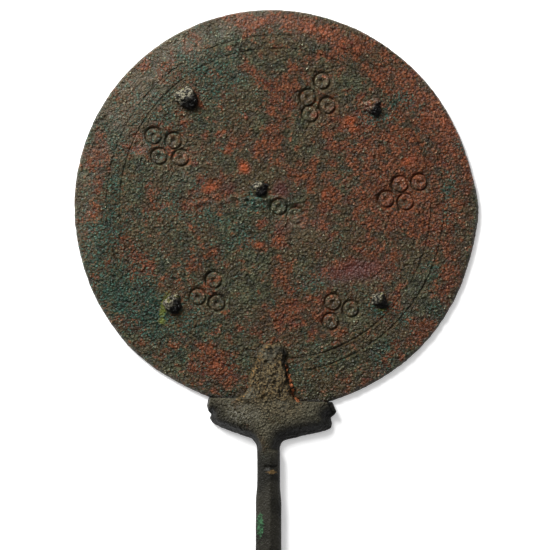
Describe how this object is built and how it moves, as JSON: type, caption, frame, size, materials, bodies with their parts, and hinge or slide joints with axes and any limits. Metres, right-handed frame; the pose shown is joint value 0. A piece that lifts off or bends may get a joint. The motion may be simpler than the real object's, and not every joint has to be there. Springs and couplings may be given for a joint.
{
  "type": "hand mirror",
  "caption": "Ancient bronze hand mirror, a round disc stamped with ring-and-dot clusters on a lobed handle with a plain rod.",
  "frame": {"origin": "centre of the disc on its flat reflecting face, which lies on the surface below", "axes": "+Z out of the decorated face, +Y from the handle to the top of the disc, +X to the right as seen from above"},
  "size_m": [0.1718, 0.2859, 0.0083],
  "materials": {
    "disc_bronze": "corroded, pebbled, dark grey-green mottled with red-brown cuprite and teal spots",
    "handle_bronze": "dark olive-brown patina, smoother, with brown crust on the tongue",
    "rivet_bronze": "dark corroded lumps with paler grey and golden breaks"
  },
  "bodies": {
    "root": {"mirror_disc": "disc_bronze", "handle": "handle_bronze", "rivet_upper_left": "rivet_bronze", "rivet_upper_right": "rivet_bronze", "rivet_centre": "rivet_bronze", "rivet_lower_left": "rivet_bronze", "rivet_lower_right": "rivet_bronze"}
  },
  "joints": []
}
